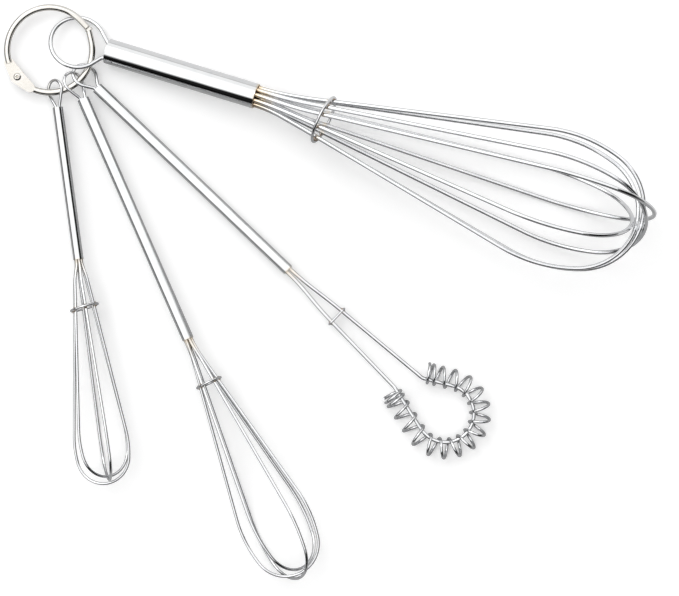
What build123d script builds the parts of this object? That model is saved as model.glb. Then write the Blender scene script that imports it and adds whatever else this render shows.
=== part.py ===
from build123d import *
import os
from math import asin, atan2, ceil, copysign, cos, degrees, hypot, pi, radians, sin, sqrt

# Four polished wire whisks linked on one openable ring, laid out on a table as a fan.
# Millimetres and degrees. X is to the right of the fan, Y away from the person, +Z up.
# The whisks are drawn about the ring's centre; the last section moves the origin under
# the middle of the whole set, on the table.

# The ring: two bent wires, a rivet that they swing on and a peg that they close on.
ring_radius = 14.0
ring_wire = 2.1
ring_height = 3.95
rivet_radius = 13.8
rivet_angle = 220.4
latch_angle = 29.6
strap_turn = 22.4
latch_straight = 3.4
strap_width = 3.3
knuckle_diameter = 4.8
lap_gap = 0.1
rivet_shaft = 1.5
rivet_head = 2.5
rivet_head_height = 0.45
rivet_crown_radius = 0.625
rivet_edge_radius = 0.9
rivet_dimple = 1.1
rivet_dimple_foot = 0.225
rivet_running_clearance = 0.05
rivet_press_clearance = 0.01
peg_diameter = 0.8
peg_length = 1.6
peg_clearance = 0.2
latch_gap = 0.3
lip_diameter = 2.6
lip_length = 0.8

# Clearances between pieces that are crimped or welded together.
crimp_gap = 0.04
weld_gap = 0.05

# The large balloon whisk.
large_reach = 19.1
large_bearing = -1.1
large_heading = -17.5
large_rise = 6.6
large_handle_length = 51.9
large_handle_diameter = 8.3
large_handle_wall = 0.45
large_wire = 1.4
large_loops = 5
large_seat = 10.0
large_head_bend = -2.0
large_flare_start = 19.0
large_neck = 23.5
large_neck_radius = 6.3
large_head_length = 110.8
large_head_width = 43.2
large_shoulder_radius = 45.0
large_tip_inset = 1.4
large_first_slot = 14.0
large_rolls = (12.0, 54.0, 81.0, 118.0, 165.0)
large_leans = (0.2, 0.0, 2.9, 0.3, -0.4)
large_tip_step = 1.47
large_tip_order = (2, 1, 0, 4, 3)
large_collar_wire = 1.0
large_collar_gap = 0.38
large_collar_skew = -7.0
large_collar_tilt = 4.0
large_eye_wire = 1.4
large_eye_seat = 6.5
large_eye_spread = 2.6
large_eye_bend = 1.6
large_eye_reach = 10.2
large_eye_radius = 8.85
large_eye_offset = 0.3
large_eye_roll = -18.0
large_eye_lift = 0.25

# The medium balloon whisk.
medium_reach = 19.5
medium_bearing = -55.8
medium_heading = -66.2
medium_height = 4.05
medium_rise = 2.16
medium_handle_length = 86.4
medium_handle_diameter = 3.9
medium_handle_wall = 0.3
medium_wire = 1.0
medium_loops = 3
medium_seat = 8.0
medium_head_bend = 1.8
medium_flare_start = 7.5
medium_neck = 15.8
medium_neck_radius = 3.15
medium_head_length = 70.1
medium_head_width = 23.4
medium_shoulder_radius = 40.0
medium_tip_inset = 0.8
medium_first_slot = 5.0
medium_rolls = (5.0, 53.0, 133.0)
medium_leans = (0.0, -0.8, 1.7)
medium_tip_step = 1.25
medium_tip_order = (1, 0, 2)
medium_collar_wire = 0.85
medium_collar_gap = 0.12
medium_collar_skew = 0.0
medium_collar_tilt = 2.0
medium_eye_wire = 1.0
medium_eye_spread = 0.95
medium_eye_bend = 1.5
medium_eye_reach = 6.2
medium_eye_radius = 3.4
medium_eye_offset = 0.8
medium_eye_roll = -38.0

# The mini balloon whisk.
mini_reach = 19.1
mini_bearing = -82.0
mini_heading = -81.9
mini_height = 4.05
mini_rise = 2.75
mini_handle_length = 50.7
mini_handle_diameter = 3.4
mini_handle_wall = 0.2
mini_wire = 0.95
mini_loops = 3
mini_seat = 8.0
mini_head_bend = -0.7
mini_flare_start = 7.5
mini_neck = 15.8
mini_neck_radius = 3.4
mini_head_length = 58.0
mini_head_width = 18.4
mini_shoulder_radius = 30.0
mini_tip_inset = 0.3
mini_first_slot = 12.0
mini_rolls = (12.0, 76.0, 139.0)
mini_leans = (0.0, 1.2, 1.1)
mini_tip_step = 1.1
mini_tip_order = (0, 1, 2)
mini_collar_wire = 0.8
mini_collar_gap = 0.22
mini_collar_skew = 9.0
mini_collar_tilt = 2.0
mini_eye_wire = 0.95
mini_eye_spread = 0.9
mini_eye_bend = 1.5
mini_eye_reach = 5.9
mini_eye_radius = 3.2
mini_eye_offset = 0.2
mini_eye_roll = 41.0

# The coil whisk: a horseshoe of wire with a spring threaded on it.
coil_reach = 20.0
coil_bearing = -38.6
coil_heading = -43.65
coil_height = 4.0
coil_rise = -0.08
coil_handle_length = 86.9
coil_handle_diameter = 3.8
coil_handle_wall = 0.3
coil_wire = 1.25
coil_seat = 8.0
coil_leg_spread = 0.72
coil_neck = 22.1
coil_neck_half_width = 2.42
coil_left_slope = 2.6
coil_right_slope = 3.9
coil_left_leg = 29.5
coil_right_leg = 34.0
coil_left_bend = 5.0
coil_right_bend = 2.2
horseshoe_radius = 9.45
horseshoe_distance = 47.9
horseshoe_offset = 1.5
spring_wire = 1.0
spring_diameter = 7.4
spring_end_room = 0.6
spring_first_angle = 180.0
spring_pitch_shares = (
    1.5, 1.5, 4.4, 5.0, 4.4, 3.9, 3.4, 3.45, 3.45, 3.5, 3.4, 3.4, 3.5, 3.5, 3.5, 4.2, 3.1, 1.5)
coil_collar_wire = 0.8
coil_eye_wire = 1.15
coil_eye_spread = 0.85
coil_eye_bend = 1.5
coil_eye_reach = 5.8
coil_eye_radius = 3.9
coil_eye_offset = -0.1
coil_eye_roll = -32.0

# Shares and angles that hold for every piece.
quarter_turn = 90
half_turn = 180
whole_turn = 360
rim_share = 0.3
largest_arc = 120


def polar(radius, angle, height):
    """A point at a distance and bearing from the ring's centre."""
    return Vector(radius * cos(radians(angle)), radius * sin(radians(angle)), height)


def axis_plane(origin, heading, rise):
    """A plane whose x runs along a whisk, y across it to its left and z up from it."""
    along = polar(cos(radians(rise)), heading, sin(radians(rise)))
    across = polar(1, heading + quarter_turn, 0)
    return Plane(origin=origin, x_dir=along, z_dir=along.cross(across))


class WirePath:
    """A wire drawn as it is bent: straight runs and arcs, each going on from the last."""

    def __init__(self, point, heading, normal):
        self.point = point
        self.heading = heading.normalized()
        self.turning = Axis((0, 0, 0), normal)

    def run(self, length):
        """Goes straight on."""
        end = self.point + self.heading * length
        Line(self.point, end)
        self.point = end

    def turn(self, radius, angle):
        """Goes round an arc, to the left for a positive angle."""
        inward = self.turning.direction.cross(self.heading) * copysign(radius, angle)
        centre = self.point + inward
        pieces = ceil(abs(angle) / largest_arc)
        for _ in range(pieces):
            arm = self.point - centre
            middle = centre + arm.rotate(self.turning, angle / pieces / 2)
            end = centre + arm.rotate(self.turning, angle / pieces)
            ThreePointArc(self.point, middle, end)
            self.point = end
        self.heading = self.heading.rotate(self.turning, angle)

    def ease(self, point, heading):
        """Goes to a point, and ends in a heading, by two arcs that meet smoothly."""
        chord = point - self.point
        lead = chord.dot(self.heading + heading)
        spare = 2 * (1 - self.heading.dot(heading)) * chord.dot(chord)
        reach = chord.dot(chord) / (lead + sqrt(lead**2 + spare))
        first_corner = self.point + self.heading * reach
        second_corner = point - heading * reach
        joint = (first_corner + second_corner) * 0.5
        TangentArc(self.point, joint, tangent=self.heading)
        TangentArc(joint, point, tangent=second_corner - first_corner)
        self.point = point
        self.heading = heading


def wire_section(route, diameter):
    """The round section of a wire, square across the start of its route."""
    start = route.wire()
    with BuildSketch(Plane(origin=start @ 0, z_dir=start % 0)) as section:
        Circle(diameter / 2)
    return section.sketch


def splay(leg_height, slope, bend, centre_distance, centre_height, radius):
    """The turn and the straight that take a leg outward, then tangent to a round end."""
    bend_x = -bend * sin(radians(slope))
    bend_y = leg_height + bend * cos(radians(slope))
    across = centre_distance - bend_x
    down = centre_height - bend_y
    span = hypot(across, down)
    heading = degrees(atan2(down, across) + asin((bend + radius) / span))
    straight = sqrt(span**2 - (bend + radius) ** 2)
    return heading, straight


def handle_tube(end, length, diameter, wall):
    """A drawn tube with eased rims; it starts at its ring end."""
    with BuildPart() as tube:
        with BuildSketch(Plane(origin=end.origin, z_dir=end.x_dir)):
            Circle(diameter / 2)
            Circle(diameter / 2 - wall, mode=Mode.SUBTRACT)
        extrude(amount=length)
        rims = tube.edges().filter_by(GeomType.CIRCLE)
        fillet(rims, wall * rim_share)
    return tube


def hanging_eye(end, wire, seat, spread, bend, reach, offset, radius):
    """The loop that hangs on the ring; both its legs are crimped in the handle's end."""
    left_heading, left_straight = splay(spread, 0, bend, reach, offset, radius)
    right_heading, right_straight = splay(spread, 0, bend, reach, -offset, radius)
    start = end.from_local_coords((-seat, spread, 0))
    with BuildPart() as eye:
        with BuildLine() as route:
            leg = WirePath(start, end.x_dir, end.z_dir)
            leg.run(seat)
            leg.turn(bend, left_heading)
            leg.run(left_straight)
            leg.turn(radius, -(half_turn + left_heading + right_heading))
            leg.run(right_straight)
            leg.turn(bend, right_heading)
            leg.run(seat)
        sweep(wire_section(route, wire))
    return eye


def eye_plane(handle, roll, lift, rise):
    """The tilted plane of a hanging eye; x runs from the handle's end to the ring."""
    heading = degrees(atan2(handle.x_dir.Y, handle.x_dir.X)) + half_turn
    origin = handle.origin + Vector(0, 0, lift)
    level = axis_plane(origin, heading, -rise)
    return Plane(level.location * Rotation(-roll, 0, 0))


def balloon_loop(neck, mouth, wire, seat, root, slot, roll, lean, flare_run, neck_radius,
                 length, width, shoulder, tip_inset):
    """One loop of a balloon head: two legs that flare from the handle to a round tip."""
    bow = Plane(neck.location * Rotation(0, 0, lean) * Rotation(roll, 0, 0))
    tip = width / 2 - tip_inset
    shoulder_y = width / 2 - shoulder
    tip_x = length - tip
    shoulder_x = tip_x - sqrt((shoulder - tip) ** 2 - shoulder_y**2)
    span = hypot(shoulder_x, shoulder_y - neck_radius)
    flare = atan2(shoulder_y - neck_radius, shoulder_x) + asin(shoulder / span)
    straight = sqrt(span**2 - shoulder**2)
    meeting = atan2(-shoulder_y, tip_x - shoulder_x)
    shoulder_turn = degrees(meeting - pi / 2 - flare)
    tip_turn = -2 * degrees(meeting)
    slot_y = root * cos(radians(slot))
    slot_z = root * sin(radians(slot))
    along = mouth.x_dir
    first_seat = mouth.from_local_coords((-seat, slot_y, slot_z))
    last_mouth = mouth.from_local_coords((0, -slot_y, -slot_z))
    flare_heading = bow.x_dir * cos(flare) + bow.y_dir * sin(flare)
    flare_point = bow.from_local_coords((0, neck_radius, 0)) - flare_heading * flare_run
    with BuildPart() as loop:
        with BuildLine() as route:
            leg = WirePath(first_seat, along, bow.z_dir)
            leg.run(seat)
            leg.ease(flare_point, flare_heading)
            leg.run(flare_run + straight)
            leg.turn(shoulder, shoulder_turn)
            leg.turn(tip, tip_turn)
            leg.turn(shoulder, shoulder_turn)
            leg.run(straight + flare_run)
            leg.ease(last_mouth, -along)
            leg.run(seat)
        sweep(wire_section(route, wire))
    return loop


def round_collar(neck, skew, tilt, leg_radius, leg_wire, collar_wire, collar_gap):
    """A wire ring spot-welded round the legs, a little askew."""
    radius = leg_radius + (leg_wire + collar_wire) / 2 + collar_gap
    askew = Plane(neck.location * Rotation(0, -tilt, skew))
    with BuildPart() as collar:
        with BuildSketch(Plane(origin=askew.origin, x_dir=askew.y_dir, z_dir=askew.z_dir)):
            with Locations((radius, 0)):
                Circle(collar_wire / 2)
        revolve(axis=Axis(askew.origin, askew.x_dir))
    return collar


def balloon_whisk(name, handle, handle_length, handle_diameter, handle_wall, wire, loops, seat,
                  head_bend, flare_start, neck_distance, neck_radius, head_length, head_width,
                  shoulder, tip_inset, first_slot, rolls, leans, tip_step, tip_order, collar_wire,
                  collar_gap, collar_skew, collar_tilt):
    """The handle tube, loops and collar of one balloon whisk, by name."""
    mouth = Plane(handle.location * Pos(handle_length, 0, 0))
    neck = Plane(mouth.location * Rotation(0, 0, head_bend) * Pos(neck_distance, 0, 0))
    root = handle_diameter / 2 - handle_wall - wire / 2 - crimp_gap
    made = {f"{name}_handle_tube": handle_tube(handle, handle_length, handle_diameter, handle_wall)}
    for number in range(loops):
        slot = first_slot + number * half_turn / loops
        length = head_length - tip_order[number] * tip_step
        made[f"{name}_wire_loop_{number + 1}"] = balloon_loop(
            neck, mouth, wire, seat, root, slot, rolls[number], leans[number],
            neck_distance - flare_start, neck_radius, length, head_width, shoulder, tip_inset)
    made[f"{name}_collar"] = round_collar(
        neck, collar_skew, collar_tilt, neck_radius, wire, collar_wire, collar_gap)
    return made


pieces = {}

# Where the ring's two halves meet: straight ends, a cup, and a peg along the swing.
ring_plane = Plane.XY.offset(ring_height)
rivet_place = polar(rivet_radius, rivet_angle, 0)
knuckle_radius = knuckle_diameter / 2
strap_height = ring_wire / 2 - lap_gap / 2
latch_spread = degrees(atan2(latch_straight, ring_radius))
latch_radius = hypot(ring_radius, latch_straight)
nose = polar(latch_radius, latch_angle, ring_height)
swing = (polar(latch_radius, latch_angle, 0) - rivet_place).rotate(Axis.Z, quarter_turn).normalized()
cup_face = nose - swing * latch_gap
cup_foot = cup_face - swing * lip_length
cup_turn = degrees((latch_gap + lip_length / 2) / latch_radius)


def strap_outline(wire_end_angle, plane, hole):
    """The flat end of a ring wire, from its round part to the knuckle on the rivet."""
    wire_end = polar(ring_radius, wire_end_angle, 0)
    with BuildSketch(plane) as outline:
        with Locations(wire_end):
            Circle(strap_width / 2)
        with Locations(rivet_place):
            Circle(knuckle_radius)
        make_hull()
        with Locations(rivet_place):
            Circle(hole / 2, mode=Mode.SUBTRACT)
    return outline.sketch


# The ring half that the whisks hang on. Its strap lies over the other.
fixed_wire_end = rivet_angle + strap_turn
fixed_bend_end = latch_angle - cup_turn - latch_spread
with BuildPart() as ring_half_fixed:
    with BuildLine() as route:
        half_wire = WirePath(polar(ring_radius, fixed_wire_end, ring_height),
                             polar(1, fixed_wire_end + quarter_turn, 0), (0, 0, 1))
        half_wire.turn(ring_radius, whole_turn + fixed_bend_end - fixed_wire_end)
        half_wire.run(latch_straight)
    sweep(wire_section(route, ring_wire))
    with BuildSketch(Plane(origin=cup_foot, z_dir=swing)):
        Circle(lip_diameter / 2)
    extrude(amount=lip_length)
    with BuildSketch(Plane(origin=cup_face, z_dir=swing)):
        Circle(peg_diameter / 2)
    extrude(amount=latch_gap + peg_length)
    peg_rim = ring_half_fixed.edges().filter_by(GeomType.CIRCLE).sort_by(Axis(cup_face, swing))[-1]
    chamfer(peg_rim, peg_diameter * rim_share)
    extrude(strap_outline(fixed_wire_end, ring_plane.offset(lap_gap / 2),
                          rivet_shaft + 2 * rivet_press_clearance), amount=strap_height)
pieces["ring_half_fixed"] = ring_half_fixed

# The ring half that swings open. Its free end is rounded, with a socket for the peg.
moving_wire_end = rivet_angle - strap_turn
moving_bend_end = latch_angle + latch_spread
with BuildPart() as ring_half_opening:
    with BuildLine() as route:
        half_wire = WirePath(polar(ring_radius, moving_wire_end, ring_height),
                             polar(1, moving_wire_end - quarter_turn, 0), (0, 0, 1))
        half_wire.turn(ring_radius, moving_bend_end - moving_wire_end)
        half_wire.run(latch_straight)
    sweep(wire_section(route, ring_wire))
    end_rim = ring_half_opening.edges().filter_by(GeomType.CIRCLE).sort_by_distance(nose)[0]
    fillet(end_rim, ring_wire / 2 * rim_share)
    with BuildSketch(Plane(origin=cup_face, z_dir=swing)):
        Circle(peg_diameter / 2 + peg_clearance)
    extrude(amount=latch_gap + peg_length + peg_clearance, mode=Mode.SUBTRACT)
    extrude(strap_outline(moving_wire_end, ring_plane.offset(-lap_gap / 2),
                          rivet_shaft + 2 * rivet_running_clearance), amount=-strap_height)
pieces["ring_half_opening"] = ring_half_opening

# The rivet that the two straps turn on. Its upper head is rolled over to a dimple.
head_base = ring_wire / 2 + weld_gap / 2
crown = head_base + rivet_head_height
with BuildPart() as ring_rivet:
    with BuildSketch(Plane(origin=rivet_place + Vector(0, 0, ring_height), x_dir=(1, 0, 0),
                           z_dir=(0, -1, 0))):
        with BuildLine():
            Polyline((0, crown), (0, -crown), (rivet_crown_radius, -crown))
            RadiusArc((rivet_crown_radius, -crown), (rivet_head / 2, -head_base),
                      -rivet_edge_radius)
            Polyline((rivet_head / 2, -head_base), (rivet_shaft / 2, -head_base),
                     (rivet_shaft / 2, head_base), (rivet_head / 2, head_base))
            RadiusArc((rivet_head / 2, head_base), (rivet_crown_radius, crown),
                      -rivet_edge_radius)
            Line((rivet_crown_radius, crown), (0, crown))
        make_face()
    revolve(axis=Axis(rivet_place, (0, 0, 1)))
    with Locations(rivet_place + Vector(0, 0, ring_height + crown)):
        Cone(rivet_dimple_foot / 2, rivet_dimple / 2, rivet_head_height, mode=Mode.SUBTRACT,
             align=(Align.CENTER, Align.CENTER, Align.MAX))
pieces["ring_rivet"] = ring_rivet

# The large balloon whisk. Its handle stands on the rim of its ring end.
large_height = large_handle_diameter / 2 * cos(radians(large_rise))
large_end = polar(large_reach, large_bearing, large_height)
large_handle = axis_plane(large_end, large_heading, large_rise)
pieces |= balloon_whisk(
    "large", large_handle, large_handle_length, large_handle_diameter, large_handle_wall,
    large_wire, large_loops, large_seat, large_head_bend, large_flare_start, large_neck,
    large_neck_radius, large_head_length, large_head_width, large_shoulder_radius,
    large_tip_inset, large_first_slot, large_rolls, large_leans, large_tip_step, large_tip_order,
    large_collar_wire, large_collar_gap, large_collar_skew, large_collar_tilt)
pieces["large_hanging_eye"] = hanging_eye(
    eye_plane(large_handle, large_eye_roll, large_eye_lift, 0), large_eye_wire, large_eye_seat,
    large_eye_spread, large_eye_bend, large_eye_reach, large_eye_offset,
    large_eye_radius)

# The medium balloon whisk.
medium_end = polar(medium_reach, medium_bearing, medium_height)
medium_handle = axis_plane(medium_end, medium_heading, medium_rise)
pieces |= balloon_whisk(
    "medium", medium_handle, medium_handle_length, medium_handle_diameter, medium_handle_wall,
    medium_wire, medium_loops, medium_seat, medium_head_bend, medium_flare_start, medium_neck,
    medium_neck_radius, medium_head_length, medium_head_width, medium_shoulder_radius,
    medium_tip_inset, medium_first_slot, medium_rolls, medium_leans, medium_tip_step, medium_tip_order,
    medium_collar_wire, medium_collar_gap, medium_collar_skew, medium_collar_tilt)
pieces["medium_hanging_eye"] = hanging_eye(
    eye_plane(medium_handle, medium_eye_roll, 0, medium_rise), medium_eye_wire, medium_seat,
    medium_eye_spread, medium_eye_bend, medium_eye_reach, medium_eye_offset,
    medium_eye_radius)

# The mini balloon whisk. Its eye is threaded on the ring the other way round.
mini_end = polar(mini_reach, mini_bearing, mini_height)
mini_handle = axis_plane(mini_end, mini_heading, mini_rise)
pieces |= balloon_whisk(
    "mini", mini_handle, mini_handle_length, mini_handle_diameter, mini_handle_wall,
    mini_wire, mini_loops, mini_seat, mini_head_bend, mini_flare_start, mini_neck,
    mini_neck_radius, mini_head_length, mini_head_width, mini_shoulder_radius,
    mini_tip_inset, mini_first_slot, mini_rolls, mini_leans, mini_tip_step, mini_tip_order,
    mini_collar_wire, mini_collar_gap, mini_collar_skew, mini_collar_tilt)
pieces["mini_hanging_eye"] = hanging_eye(
    eye_plane(mini_handle, mini_eye_roll, 0, mini_rise), mini_eye_wire, mini_seat,
    mini_eye_spread, mini_eye_bend, mini_eye_reach, mini_eye_offset,
    mini_eye_radius)

# The coil whisk: handle and hanging eye.
coil_end = polar(coil_reach, coil_bearing, coil_height)
coil_handle = axis_plane(coil_end, coil_heading, coil_rise)
coil_mouth = Plane(coil_handle.location * Pos(coil_handle_length, 0, 0))
pieces["coil_handle_tube"] = handle_tube(
    coil_handle, coil_handle_length, coil_handle_diameter, coil_handle_wall)
pieces["coil_hanging_eye"] = hanging_eye(
    eye_plane(coil_handle, coil_eye_roll, 0, coil_rise), coil_eye_wire, coil_seat,
    coil_eye_spread, coil_eye_bend, coil_eye_reach, coil_eye_offset,
    coil_eye_radius)

# Its horseshoe: a leg, a bend outward and a straight on each side of the round end.
left_bend_x = coil_left_leg * cos(radians(coil_left_slope))
left_bend_y = coil_neck_half_width + coil_left_leg * sin(radians(coil_left_slope))
right_bend_x = coil_right_leg * cos(radians(coil_right_slope))
right_bend_y = coil_neck_half_width + coil_right_leg * sin(radians(coil_right_slope))
left_splay, left_straight = splay(
    left_bend_y, coil_left_slope, coil_left_bend, horseshoe_distance - left_bend_x,
    -horseshoe_offset, horseshoe_radius)
right_splay, right_straight = splay(
    right_bend_y, coil_right_slope, coil_right_bend, horseshoe_distance - right_bend_x,
    horseshoe_offset, horseshoe_radius)
left_seat_end = coil_mouth.from_local_coords((-coil_seat, -coil_leg_spread, 0))
right_mouth = coil_mouth.from_local_coords((0, coil_leg_spread, 0))
left_neck = coil_mouth.from_local_coords((coil_neck, -coil_neck_half_width, 0))
left_leg_heading = (coil_mouth.x_dir * cos(radians(coil_left_slope))
                    - coil_mouth.y_dir * sin(radians(coil_left_slope)))
with BuildPart() as coil_head_wire:
    with BuildLine() as horseshoe:
        leg = WirePath(left_seat_end, coil_mouth.x_dir, coil_mouth.z_dir)
        leg.run(coil_seat)
        leg.ease(left_neck, left_leg_heading)
        leg.run(coil_left_leg)
        leg.turn(coil_left_bend, coil_left_slope - left_splay)
        spring_seat_start = leg.point
        leg.run(left_straight)
        leg.turn(horseshoe_radius, left_splay + half_turn + right_splay)
        leg.run(right_straight)
        spring_seat_end = leg.point
        leg.turn(coil_right_bend, coil_right_slope - right_splay)
        leg.run(coil_right_leg)
        leg.ease(right_mouth, -coil_mouth.x_dir)
        leg.run(coil_seat)
    sweep(wire_section(horseshoe, coil_wire))
pieces["coil_head_wire"] = coil_head_wire

# Its collar: a wire pinched to an oval round the two legs.
collar_end_radius = (coil_wire + coil_collar_wire) / 2 + weld_gap
collar_start = coil_mouth.from_local_coords((coil_neck, 0, collar_end_radius))
with BuildPart() as coil_collar:
    with BuildLine() as route:
        band = WirePath(collar_start, coil_mouth.y_dir, -coil_mouth.x_dir)
        for _ in range(2):
            band.run(coil_neck_half_width)
            band.turn(collar_end_radius, half_turn)
            band.run(coil_neck_half_width)
    sweep(wire_section(route, coil_collar_wire))
pieces["coil_collar"] = coil_collar

# Its spring, wound round the horseshoe's wire, which lies against the inside of the turns.
spring_radius = (spring_diameter - spring_wire) / 2
spring_axis_offset = spring_radius - (spring_wire + coil_wire) / 2 - weld_gap
horseshoe_wire = horseshoe.wire()
spring_from = horseshoe_wire.param_at_point(spring_seat_start) * horseshoe_wire.length
spring_from += spring_end_room
spring_to = horseshoe_wire.param_at_point(spring_seat_end) * horseshoe_wire.length
spring_pitch_unit = (spring_to - spring_end_room - spring_from) / sum(spring_pitch_shares)
spring_turns = len(spring_pitch_shares)
quarters = 4
slope_share = 0.01
samples_in_half_turn = 10


def spring_advance(turn):
    """How far along the horseshoe the spring has come after a number of turns."""
    whole = min(max(int(turn), 0), spring_turns - 1)
    part = turn - whole
    return (sum(spring_pitch_shares[:whole]) + part * spring_pitch_shares[whole]) * spring_pitch_unit


def spring_point(turn):
    """A point on the middle of the spring's wire."""
    distance = (spring_from + spring_advance(turn)) / horseshoe_wire.length
    heading = horseshoe_wire % distance
    inward = coil_mouth.z_dir.cross(heading)
    middle = (horseshoe_wire @ distance) - inward * spring_axis_offset
    angle = radians(spring_first_angle + turn * whole_turn)
    return middle + (inward * cos(angle) + coil_mouth.z_dir * sin(angle)) * spring_radius


def spring_heading(turn):
    """The way that the spring's wire runs there."""
    return (spring_point(turn + slope_share) - spring_point(turn - slope_share)).normalized()


with BuildPart() as coil_spring:
    with BuildLine() as route:
        turn_of_wire = WirePath(spring_point(0), spring_heading(0), coil_mouth.z_dir)
        for quarter in range(1, spring_turns * quarters + 1):
            turn = quarter / quarters
            turn_of_wire.ease(spring_point(turn), spring_heading(turn))
    sweep(wire_section(route, spring_wire))
pieces["coil_spring"] = coil_spring


def least_spring_gap():
    """The least gap between one part of the spring and another, half a turn or more on."""
    count = 2 * samples_in_half_turn * spring_turns
    points = [spring_point(number * spring_turns / count) for number in range(count + 1)]
    return min((points[i] - points[j]).length for i in range(count + 1)
               for j in range(i + samples_in_half_turn, count + 1)) - spring_wire


print("least gap of the spring to itself", round(least_spring_gap(), 3))

# The origin moves to the table, under the middle of the whole set.
boxes = [piece.part.bounding_box() for piece in pieces.values()]
low = Vector(*(min(getattr(box.min, way) for box in boxes) for way in "XYZ"))
high = Vector(*(max(getattr(box.max, way) for box in boxes) for way in "XYZ"))
middle = Vector((low.X + high.X) / 2, (low.Y + high.Y) / 2, low.Z)
print("size", high - low, "ring centre", -middle)

os.makedirs("parts", exist_ok=True)
for name, piece in pieces.items():
    piece.part.move(Location(-middle))
    piece.part.label = name
    export_step(piece.part, f"parts/{name}.step")
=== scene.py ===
# %% [markdown]
# # Four wire whisks on a ring
# A big whisk, a medium one, a tiny one and a coil whisk hang on one openable ring. Everything is
# bright metal, so this lesson is mostly about one thing: polished steel has hardly any colour of
# its own, and what you see in it is the room. We load the finished shapes, give each kind of metal
# its own surface, add the small marks that the maker's tools leave, and then build the room.

import math

import bmesh
import bpy
import numpy as np
from mathutils import Matrix, Vector
from mathutils.bvhtree import BVHTree
from mathutils.noise import noise as lump_noise


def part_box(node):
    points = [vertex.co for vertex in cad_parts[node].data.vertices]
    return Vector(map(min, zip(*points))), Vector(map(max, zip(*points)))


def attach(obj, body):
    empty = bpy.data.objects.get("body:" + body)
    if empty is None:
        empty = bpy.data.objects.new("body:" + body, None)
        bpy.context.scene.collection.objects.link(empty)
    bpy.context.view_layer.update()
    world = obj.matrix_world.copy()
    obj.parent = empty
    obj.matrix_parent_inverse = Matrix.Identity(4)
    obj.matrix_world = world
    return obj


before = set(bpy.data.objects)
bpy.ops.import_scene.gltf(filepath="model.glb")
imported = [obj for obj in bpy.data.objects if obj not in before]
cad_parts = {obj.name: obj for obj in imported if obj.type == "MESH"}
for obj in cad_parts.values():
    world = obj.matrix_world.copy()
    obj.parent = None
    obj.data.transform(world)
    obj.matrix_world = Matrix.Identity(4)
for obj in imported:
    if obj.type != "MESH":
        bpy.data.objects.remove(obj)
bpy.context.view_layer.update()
MM = 0.001
WHISKS = ("large", "medium", "mini", "coil")

# %% [markdown]
# ## Where things are
# A tube's own points tell us which way it runs: the direction in which they spread the most. We
# take it from the mesh instead of typing it again, so the marks below land where the parts are.
# Each tube starts at the ring, and its mouth is the end where the whisk's wires come out.


# %% Measure the handles
def points_of(name):
    """All the corner points of a node, one row each."""
    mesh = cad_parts[name].data
    flat = np.empty(len(mesh.vertices) * 3, np.float32)
    mesh.vertices.foreach_get("co", flat)
    return flat.reshape(-1, 3).astype(float)


def handle_line(name):
    """The mouth's middle, the way out of it, and the length, of one handle tube."""
    points = points_of(f"{name}_handle_tube")
    middle = points.mean(axis=0)
    spread = np.linalg.svd(points - middle, full_matrices=False)[2]
    way = spread[0]
    ring_side = points_of("ring_half_fixed").mean(axis=0)
    if (middle - ring_side) @ way < 0:
        way = -way
    reach = (points - middle) @ way
    first = middle + way * reach.min()
    last = middle + way * reach.max()
    return Vector(last), Vector(way), (Vector(last) - Vector(first)).length


HANDLES = {name: handle_line(name) for name in WHISKS}
COLLARS = {name: Vector(points_of(f"{name}_collar").mean(axis=0)) for name in WHISKS}
for name, (mouth, way, length) in HANDLES.items():
    print(name, "tube", round(length / MM, 1), "mm, mouth at", [round(v / MM, 1) for v in mouth])

# %% [markdown]
# ## Writing a surface as sums
# A material is a graph of nodes. Wiring it by hand hides the idea, so we wrap a socket in a small
# class that knows how to add and multiply. Then `0.05 + smudges * 0.1` reads like the thought
# behind it.


# %% Values that change over a surface
class Field:
    """A value that changes over a surface, with ordinary arithmetic."""

    def __init__(self, finish, socket):
        self.finish = finish
        self.socket = socket

    def _maths(self, operation, first, second):
        return self.finish.node("ShaderNodeMath", {"operation": operation}, {0: first, 1: second})

    def __add__(self, other):
        return self._maths("ADD", self, other)

    def __sub__(self, other):
        return self._maths("SUBTRACT", self, other)

    def __mul__(self, other):
        return self._maths("MULTIPLY", self, other)

    def __truediv__(self, other):
        return self._maths("DIVIDE", self, other)

    def __rsub__(self, other):
        return self._maths("SUBTRACT", other, self)

    def __pow__(self, other):
        return self._maths("POWER", self, other)

    def __abs__(self):
        return self._maths("ABSOLUTE", self, 0)

    __radd__ = __add__
    __rmul__ = __mul__

    def largest(self, other):
        return self._maths("MAXIMUM", self, other)

    def along(self, direction):
        """How far this point lies along a direction."""
        return self.finish.node("ShaderNodeVectorMath", {"operation": "DOT_PRODUCT"},
                                {0: self, 1: tuple(direction)}, "Value")

    def between(self, start, end, low=0.0, high=1.0):
        """Slides smoothly from low, where the value is start, to high, where it is end."""
        return self.finish.node("ShaderNodeMapRange", {"interpolation_type": "SMOOTHSTEP"},
                                {"Value": self, "From Min": start, "From Max": end,
                                 "To Min": low, "To Max": high}, "Result")


print("a field knows", sum(not name.startswith("__") for name in vars(Field)), "named sums")

# %% [markdown]
# Every other node comes from one method that takes its type, its settings and its inputs. The
# colour sockets of the mix node share their names with its other ones, so they are numbered.


# %% A tree of nodes to write into
MIX_FIRST, MIX_SECOND, MIX_RESULT = 6, 7, 2


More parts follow.
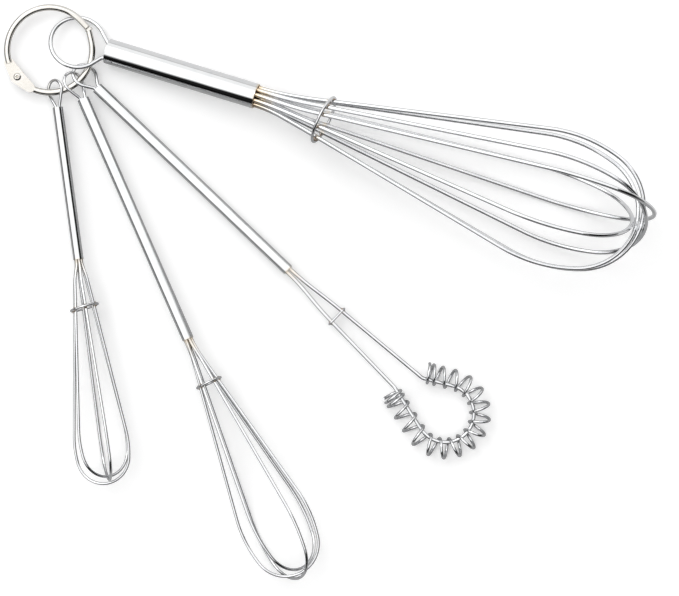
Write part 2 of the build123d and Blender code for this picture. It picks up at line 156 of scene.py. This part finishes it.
class Finish:
    """One node tree that we write into."""

    def __init__(self, owner):
        owner.use_nodes = True
        self.tree = owner.node_tree
        self.tree.nodes.clear()

    def node(self, kind, settings=None, values=None, output=0):
        """Adds a node: its settings first, then the values or links of its sockets."""
        made = self.tree.nodes.new(kind)
        for key, value in (settings or {}).items():
            setattr(made, key, value)
        for key, value in (values or {}).items():
            if isinstance(value, Field):
                self.tree.links.new(value.socket, made.inputs[key])
            else:
                made.inputs[key].default_value = value
        return Field(self, made.outputs[output]) if made.outputs else None

    def place(self):
        """The point on the piece, in metres, in the frame that it was modelled in."""
        return self.node("ShaderNodeTexCoord", output="Object")

    def stretch(self, point, scale):
        """The same point with its three directions scaled apart."""
        return self.node("ShaderNodeVectorMath", {"operation": "MULTIPLY"}, {0: point, 1: scale})

    def speckle(self, point, size, detail=3.0, rough=0.55):
        """Cloudy noise from 0 to 1, with clouds of about that size."""
        return self.node("ShaderNodeTexNoise", {"noise_dimensions": "3D"},
                         {"Vector": point, "Scale": 1 / size, "Detail": detail,
                          "Roughness": rough}, "Fac")

    def tint(self, share, first, second):
        """Mixes two colours; either may be a colour or another field."""
        return self.node("ShaderNodeMix", {"data_type": "RGBA", "blend_type": "MIX"},
                         {"Factor": share, MIX_FIRST: first, MIX_SECOND: second}, MIX_RESULT)

    def bump(self, height, depth, under=None):
        """Turns a height from 0 to 1 into a dent or ridge of that depth in metres."""
        values = {"Height": height, "Distance": depth, "Strength": 1.0}
        if under is not None:
            values["Normal"] = under
        return self.node("ShaderNodeBump", None, values, "Normal")


print("a finish knows", sum(not name.startswith("__") for name in vars(Finish)), "kinds of node")

# %% [markdown]
# ## Measures of the marks
# Real stainless parts carry traces at several scales: hairlines from drawing the tube through a
# die, softer smudges from handling, and straw to brown heat tint where the wires were welded in
# the mouth and at the collar. These are their sizes. Cloudy noise mostly stays near 0.5, so the
# levels below say at which value of the noise a mark starts and at which it is complete.

# %% The sizes of the marks
HAIRLINE = 0.06 * MM
HAIRLINE_RUN = 9.0 * MM
SMUDGE = 5.5 * MM
WOBBLE = 16.0 * MM
GRAIN = 0.22 * MM
SCRATCH = 1.1 * MM
HAIRLINE_DEPTH = 0.0005 * MM
WOBBLE_DEPTH = 0.05 * MM
GRAIN_DEPTH = 0.002 * MM
ROOT_TINT = 8.5 * MM
ROOT_BROWN = 1.5 * MM
WELD_TINT = 1.6 * MM
RIM_TINT = 0.9 * MM
TONGUE = 1.7 * MM
STRAW = (0.76, 0.64, 0.46, 1.0)
BROWN = (0.40, 0.27, 0.16, 1.0)
BLUE = (0.22, 0.25, 0.32, 1.0)
SMUDGE_TONE_LEVELS = (0.35, 0.7)
SMUDGE_BLUR_LEVELS = (0.45, 0.75)
HAIRLINE_LEVELS = (0.55, 0.8)
GRAIN_LEVELS = (0.5, 0.9)
print("smallest mark in mm", HAIRLINE / MM, "largest", WOBBLE / MM)


# %% [markdown]
# ## The metal itself
# Every metal here is the same shader with metallic at 1. What tells them apart is how bright and
# warm it is, how sharp its reflection is, and which marks lie on it. The function below does the
# common part and hands back the finish, so that each kind of piece can add its own marks.


# %% One metal for all
def metal(name, bright, dull, sharp, blurred, marks=None, hairlines=None, grain=0.0):
    """A polished metal: its two tones, its two roughnesses and its marks."""
    material = bpy.data.materials.new(name)
    finish = Finish(material)
    place = finish.place()
    smudges = finish.speckle(place, SMUDGE, 4.0)
    colour = finish.tint(smudges.between(*SMUDGE_TONE_LEVELS), bright, dull)
    roughness = sharp + smudges.between(*SMUDGE_BLUR_LEVELS) * (blurred - sharp)
    normal = finish.bump(finish.speckle(place, WOBBLE, 1.0), WOBBLE_DEPTH)
    if hairlines is not None:
        lines = hairlines(finish, place)
        roughness = roughness + lines.between(*HAIRLINE_LEVELS) * (blurred - sharp)
        normal = finish.bump(lines, HAIRLINE_DEPTH, normal)
    if grain:
        pits = finish.speckle(place, GRAIN, 2.0, 0.7)
        roughness = roughness + pits.between(*GRAIN_LEVELS) * grain
        normal = finish.bump(pits, GRAIN_DEPTH, normal)
    if marks is not None:
        colour, roughness = marks(finish, place, colour, roughness)
    shader = finish.node("ShaderNodeBsdfPrincipled", None,
                         {"Base Color": colour, "Roughness": roughness, "Metallic": 1.0,
                          "Normal": normal}, "BSDF")
    finish.node("ShaderNodeOutputMaterial", None, {"Surface": shader})
    print("made", name, "with", len(finish.tree.nodes), "nodes")
    return material


def dress(node_name, material):
    """Gives a finished shape its metal."""
    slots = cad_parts[node_name].data.materials
    slots.clear()
    slots.append(material)


# %% [markdown]
# ## Heat tint
# Steel that has been near a weld turns straw, then brown. The tint is strongest at the weld and
# dies away in uneven tongues, so its edge is pushed in and out by noise. `heat` gives one such
# stain around a level along the whisk, and `tinted` lays several of them over a metal.


# %% Heat tint
TONGUE_SHARE = 0.9
STAIN_FULL = 0.3
STAIN_END = 1.35
COLLAR_SHARE = 0.5
BROWN_SHARE = 0.75
STAINED_BLUR = 0.05


def heat(finish, place, centre, way, reach):
    """How strongly a point is stained, from 1 at the weld to 0 beyond its reach."""
    level = place.along(way) - Vector(centre).dot(Vector(way))
    tongues = finish.speckle(place, TONGUE, 3.0) * (TONGUE_SHARE * reach)
    return (abs(level) + tongues).between(STAIN_FULL * reach, STAIN_END * reach, 1.0, 0.0)


def tinted(name, strength):
    """Marks for the wires of one whisk: stained at the tube's mouth and at the collar."""
    mouth, way, _ = HANDLES[name]

    def marks(finish, place, colour, roughness):
        root = heat(finish, place, mouth, way, ROOT_TINT)
        core = heat(finish, place, mouth, way, ROOT_BROWN)
        weld = heat(finish, place, COLLARS[name], way, WELD_TINT)
        colour = finish.tint(root * strength, colour, STRAW)
        colour = finish.tint(weld * (COLLAR_SHARE * strength), colour, STRAW)
        colour = finish.tint(core * (BROWN_SHARE * strength), colour, BROWN)
        return colour, roughness + (core + weld) * STAINED_BLUR

    return marks


# %% [markdown]
# ## The handles
# Each handle is a thin tube, drawn and then polished. Drawing leaves hairlines that run along the
# tube, far longer than they are wide. We get them by squeezing the noise across the tube and
# stretching it along, and that needs the tube's own three directions.


# %% Handle tubes
RIM_BLUR = 0.06


def drawn_lines(way):
    """Hairlines that run along a direction."""
    across = way.cross(Vector((0, 0, 1))).normalized()
    up = across.cross(way)

    def lines(finish, place):
        turned = finish.node("ShaderNodeCombineXYZ", None, {
            "X": place.along(way) / HAIRLINE_RUN, "Y": place.along(across) / HAIRLINE,
            "Z": place.along(up) / HAIRLINE})
        return finish.speckle(turned, 1.0, 2.0)

    return lines


def mouth_stain(name, strength):
    """Marks for a tube: the faint stain on its rim, where the wires are welded in."""
    mouth, way, _ = HANDLES[name]

    def marks(finish, place, colour, roughness):
        rim = heat(finish, place, mouth, way, RIM_TINT)
        colour = finish.tint(rim * strength, colour, STRAW)
        return colour, roughness + rim * RIM_BLUR

    return marks


TUBE_BRIGHT = (0.78, 0.785, 0.79, 1.0)
TUBE_DULL = (0.74, 0.75, 0.76, 1.0)
RIMS = {"large": 0.8, "medium": 0.5, "mini": 0.5, "coil": 0.5}
for name in WHISKS:
    tube = metal(f"drawn tube of the {name} whisk", TUBE_BRIGHT, TUBE_DULL,
                 sharp=0.035, blurred=0.085, marks=mouth_stain(name, RIMS[name]),
                 hairlines=drawn_lines(HANDLES[name][1]))
    dress(f"{name}_handle_tube", tube)

# %% [markdown]
# ## The wires
# The loops, eyes and collars are hard-drawn wire. It is bright as well, but the die leaves it a
# little rougher than the tube and finely pitted. The wires of each whisk share one finish, because
# they were welded and polished together, so they carry the same tint at the same places.

# %% Wires
WIRE_BRIGHT = (0.77, 0.775, 0.785, 1.0)
WIRE_DULL = (0.70, 0.71, 0.725, 1.0)
COLLAR_DULL = (0.62, 0.62, 0.63, 1.0)
TINTS = {"large": 0.9, "medium": 0.5, "mini": 0.35, "coil": 0.45}
collar_steel = metal("collar wire", WIRE_BRIGHT, COLLAR_DULL, sharp=0.08, blurred=0.17, grain=0.08)
for name in WHISKS:
    wire = metal(f"drawn wire of the {name} whisk", WIRE_BRIGHT, WIRE_DULL,
                 sharp=0.04, blurred=0.09, marks=tinted(name, TINTS[name]), grain=0.05)
    for node_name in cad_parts:
        if node_name.startswith(name) and "tube" not in node_name:
            dress(node_name, collar_steel if "collar" in node_name else wire)

# %% [markdown]
# ## Spot welds
# Each collar is held by a tiny weld wherever a wire touches it. First we look for those places:
# the pairs of points where the collar comes nearest to a wire, and at most two for each wire,
# because a loop passes the collar once on its way out and once on its way back.


# %% Where the collars touch
WELDS_A_WIRE = 2
WELD_SPACING = 2.0 * MM
WELD_REACH = 0.9 * MM


def closest_places(collar, wire_name):
    """Pairs of nearest points on a collar and on one wire, at different places."""
    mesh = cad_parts[wire_name].data
    tree = BVHTree.FromPolygons([v.co for v in mesh.vertices], [p.vertices for p in mesh.polygons])
    found = []
    for point in points_of(collar):
        hit, _, _, gap = tree.find_nearest(Vector(point), WELD_REACH)
        if hit is not None:
            found.append((gap, Vector(point), hit))
    chosen = []
    for _, point, hit in sorted(found, key=lambda row: row[0]):
        clear = all((point - other).length > WELD_SPACING for other, _ in chosen)
        if len(chosen) < WELDS_A_WIRE and clear:
            chosen.append((point, hit))
    return chosen


def is_welded(wire_name, name):
    """Whether a node is one of the wires that the collar of that whisk holds."""
    return wire_name.startswith(name) and ("loop" in wire_name or "head_wire" in wire_name)


contacts = {
    name: [pair for wire_name in sorted(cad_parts) if is_welded(wire_name, name)
           for pair in closest_places(f"{name}_collar", wire_name)]
    for name in WHISKS}
print("contacts", {name: len(pairs) for name, pairs in contacts.items()})

# %% [markdown]
# A weld is a squeezed drop of metal, a little longer along the wire than across. It starts as a
# round ball, is pushed in and out by noise, and is then squeezed so that it reaches from the
# collar into the wire. Burnt metal is rough, brown and here and there blue.


# %% Drops of weld metal
DROP_HALF_LENGTH = 0.85 * MM
DROP_HALF_WIDTH = 0.5 * MM
DROP_SINK = 0.3 * MM
LUMP_HEIGHT = 0.16
LUMP_COUNT = 1.7
BURNT = 0.35 * MM
BURNT_BROWN_LEVELS, BURNT_BROWN_SHARE = (0.3, 0.6), 0.85
BURNT_BLUE_LEVELS, BURNT_BLUE_SHARE = (0.62, 0.8), 0.5
BURNT_BLUR_LEVELS, BURNT_BLUR = (0.3, 0.8), 0.2
WELD_BRIGHT = (0.66, 0.64, 0.62, 1.0)
WELD_DULL = (0.50, 0.46, 0.42, 1.0)


def drop(growing, point, hit, way, seed):
    """Adds one lumpy drop, from a point on the collar to one on the wire, to a growing mesh."""
    gap = hit - point
    side = way.cross(gap.normalized()).normalized()
    depth = side.cross(way).normalized()
    turn = Matrix((way * DROP_HALF_LENGTH, depth * (gap.length / 2 + DROP_SINK),
                   side * DROP_HALF_WIDTH)).transposed()
    ball = bmesh.ops.create_icosphere(growing, subdivisions=3, radius=1.0)["verts"]
    for corner in ball:
        push = 1 + LUMP_HEIGHT * lump_noise(corner.co * LUMP_COUNT + Vector((seed, 0, 0)))
        corner.co = (point + hit) / 2 + turn @ (corner.co * push)


def nugget_marks(finish, place, colour, roughness):
    """Marks for a weld: brown and blue patches, and a burnt, uneven surface."""
    burnt = finish.speckle(place, BURNT, 4.0, 0.7)
    brown = burnt.between(*BURNT_BROWN_LEVELS) * BURNT_BROWN_SHARE
    blue = burnt.between(*BURNT_BLUE_LEVELS) * BURNT_BLUE_SHARE
    colour = finish.tint(blue, finish.tint(brown, colour, BROWN), BLUE)
    return colour, roughness + burnt.between(*BURNT_BLUR_LEVELS) * BURNT_BLUR


nugget = metal("weld metal", WELD_BRIGHT, WELD_DULL, sharp=0.14, blurred=0.26,
               marks=nugget_marks, grain=0.1)
for name in WHISKS:
    drops = bmesh.new()
    for seed, (point, hit) in enumerate(contacts[name]):
        drop(drops, point, hit, HANDLES[name][1], seed)
    mesh = bpy.data.meshes.new(f"{name}_collar_welds")
    drops.to_mesh(mesh)
    drops.free()
    mesh.shade_smooth()
    welds = bpy.data.objects.new(mesh.name, mesh)
    bpy.context.scene.collection.objects.link(welds)
    mesh.materials.append(nugget)
    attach(welds, f"{name}_whisk")
    print(mesh.name, "has", len(mesh.polygons), "faces")

# %% [markdown]
# ## The ring
# The ring is nickel-plated and a shade warmer than the steel. Its flat straps were stamped, so
# they are less polished than the round wire, and the plating is worn round the rivet.


# %% Nickel
NICKEL_BRIGHT = (0.77, 0.75, 0.715, 1.0)
NICKEL_DULL = (0.70, 0.675, 0.63, 1.0)
NICKEL_WORN = (0.66, 0.62, 0.56, 1.0)
WORN_WITHIN = 3.0 * MM
WORN_UNTIL = 8.0 * MM
WORN_SHARE = 0.6
STAMPED_BLUR = 0.04
SCUFF_BLUR = 0.08
SCUFF_LEVELS = (0.3, 0.8)


def worn_straps(finish, place, colour, roughness):
    """Marks for the ring: duller and warmer near the rivet, as on a stamped, handled strap."""
    low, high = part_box("ring_rivet")
    away = finish.node("ShaderNodeVectorMath", {"operation": "DISTANCE"},
                       {0: place, 1: tuple((low + high) / 2)}, "Value")
    worn = away.between(WORN_WITHIN, WORN_UNTIL, 1.0, 0.0)
    scuffs = finish.speckle(finish.stretch(place, (1.0, 3.0, 1.0)), SCRATCH, 4.0, 0.7)
    scuffs = scuffs.between(*SCUFF_LEVELS)
    colour = finish.tint(worn * scuffs * WORN_SHARE, colour, NICKEL_WORN)
    return colour, roughness + worn * (STAMPED_BLUR + scuffs * SCUFF_BLUR)


nickel = metal("nickel plate", NICKEL_BRIGHT, NICKEL_DULL, sharp=0.05, blurred=0.12,
               marks=worn_straps, grain=0.05)
for node_name in ("ring_half_fixed", "ring_half_opening", "ring_rivet"):
    dress(node_name, nickel)

# %% [markdown]
# ## The floor
# A sheet of white paper. Catalogue pictures are brightened until the paper is pure white, while
# the metal keeps its dark edges. We do the same: rays from the camera find a bright sheet with a
# little glow, and rays from the metal find the same sheet as it was before it was brightened. It
# is less bright there, but for the strip behind the big whisk, which lies nearest to the lamp. In
# that strip, the sheet that the metal sees has painted light: a brighter tone painted into its
# colour.

# %% Floor
BEHIND = (0.30, 0.954, 0.0)
BEHIND_START = 35 * MM
BEHIND_END = 65 * MM
SEEN_BY_METAL = 0.46
# painted light: how much brighter the metal sees the painted strip behind the big whisk
PAINTED_LIGHT_BEHIND = 0.42
BRIGHTENED = 0.2
SHEET_SIZE = 3.0
SHEET_LEVEL = -0.02 * MM
FIBRE = 0.6 * MM
FIBRE_DEPTH = 0.01 * MM
PAPER_TONES = (0.93, 0.95)
BLACK = (0.0, 0.0, 0.0, 1.0)
WHITE = (1.0, 1.0, 1.0, 1.0)

bpy.ops.mesh.primitive_plane_add(size=SHEET_SIZE, location=(0, 0, SHEET_LEVEL))
floor = bpy.context.object
floor.name = "paper_sheet"
paper = bpy.data.materials.new("white paper")
sheet = Finish(paper)
place = sheet.place()
fibres = sheet.speckle(place, FIBRE, 3.0)
ray = sheet.node("ShaderNodeLightPath", output="Is Camera Ray")
# painted light: a brighter strip is painted into the sheet that the metal sees, in place of lamp
# light behind the big whisk
painted_light_strip = place.along(BEHIND).between(BEHIND_START, BEHIND_END)
whiteness = fibres.between(0.0, 1.0, *PAPER_TONES)
whiteness = whiteness * ray.largest(SEEN_BY_METAL + painted_light_strip * PAINTED_LIGHT_BEHIND)
diffuse = sheet.node("ShaderNodeBsdfDiffuse", None,
                     {"Color": sheet.tint(whiteness, BLACK, WHITE),
                      "Normal": sheet.bump(fibres, FIBRE_DEPTH)})
glow = sheet.node("ShaderNodeEmission", None, {"Color": WHITE, "Strength": ray * BRIGHTENED})
both = sheet.node("ShaderNodeAddShader", None, {0: diffuse, 1: glow})
sheet.node("ShaderNodeOutputMaterial", None, {"Surface": both})
floor.data.materials.append(paper)
print("paper at", round(floor.location.z / MM, 3), "mm")

# %% [markdown]
# ## The room
# This is what the metal shows, so it matters more than any lamp. Overhead everything is white, as
# under a tent. Low down, on the near right side, the tent is open and the room behind it is dark.
# That opening draws the black lines that give the tubes and wires their edges. A lower slit on the
# left and two faint ones behind draw the thinner lines on the other edges. Each is given by a
# compass bearing in degrees, half its width in degrees, and two heights: 0 is the horizon and 1 is
# straight up.

# %% Room
TENT_LIGHT = 1.32
SIDE_SOFTNESS = 5
SMALLEST_LEVEL = 0.0001

world = bpy.data.worlds.new("tent")
bpy.context.scene.world = world
tent = Finish(world)
toward = tent.node("ShaderNodeTexCoord", output="Generated")
height = toward.along((0, 0, 1))


def opening(bearing, half_width, low, high, soft=0.05):
    """How open the tent is, around a bearing in degrees and between two heights."""
    straight = (math.cos(math.radians(bearing)), math.sin(math.radians(bearing)), 0)
    level = (1 - height * height).largest(SMALLEST_LEVEL) ** 0.5
    side = (toward.along(straight) / level).between(
        math.cos(math.radians(half_width + SIDE_SOFTNESS)),
        math.cos(math.radians(half_width - SIDE_SOFTNESS)))
    sill = height.between(low - soft, low + soft)
    lintel = height.between(high - soft, high + soft, 1.0, 0.0)
    return side * sill * lintel


darkness = height.between(0.18, 0.42, low=0.9, high=0.99)
dark = opening(-52, 81, low=-0.1, high=0.82, soft=0.06) * darkness
slit = opening(-172, 56, low=-0.12, high=0.36) * 0.97
chink = opening(60, 50, low=-0.1, high=0.2) * 0.35
dim = opening(95, 40, low=-0.1, high=0.66) * 0.15
seen = tent.node("ShaderNodeLightPath", output="Is Camera Ray")
strength = (1 - dark) * (1 - slit) * (1 - chink) * (1 - dim) * TENT_LIGHT
strength = strength * (1 - seen) + seen
tent_light = tent.node("ShaderNodeBackground", None,
                       {"Color": WHITE, "Strength": strength})
tent.node("ShaderNodeOutputWorld", None, {"Surface": tent_light})

# %% [markdown]
# ## The lamp
# One large soft lamp from the upper left gives the shadows a direction, toward the lower right.

# %% Lamp
LAMP_SIZE = 0.7
LAMP_POWER = 2.2
LAMP_PLACE = (-0.45, 0.55, 0.95)

lamp_data = bpy.data.lights.new("soft_lamp", "AREA")
lamp_data.shape = "SQUARE"
lamp_data.size = LAMP_SIZE
lamp_data.energy = LAMP_POWER
lamp = bpy.data.objects.new("soft_lamp", lamp_data)
bpy.context.scene.collection.objects.link(lamp)
lamp.location = LAMP_PLACE
lamp.rotation_euler = (-lamp.location).to_track_quat("-Z", "Y").to_euler()
print("lamp of", LAMP_POWER, "W at", [round(v, 2) for v in lamp.location])

# %% [markdown]
# ## The camera
# The picture was taken from straight above, from 0.7 m, with the picture's middle a little to the
# right of the object's own. The lens is worked out from the width of table that the picture shows.

# %% Camera
CAMERA_HEIGHT = 0.70005
CAMERA_RIGHT = 4.648 * MM
CAMERA_BACK = -2.209 * MM
TABLE_WIDTH = 0.224749
SENSOR_WIDTH = 36.0

camera_data = bpy.data.cameras.new("overhead")
camera_data.sensor_fit = "HORIZONTAL"
camera_data.sensor_width = SENSOR_WIDTH
camera_data.lens = SENSOR_WIDTH * CAMERA_HEIGHT / TABLE_WIDTH
camera = bpy.data.objects.new("overhead", camera_data)
bpy.context.scene.collection.objects.link(camera)
camera.location = (CAMERA_RIGHT, CAMERA_BACK, CAMERA_HEIGHT)
bpy.context.scene.camera = camera
bpy.context.scene.view_settings.view_transform = "Standard"
print("lens", round(camera_data.lens, 1), "mm")

# %% [markdown]
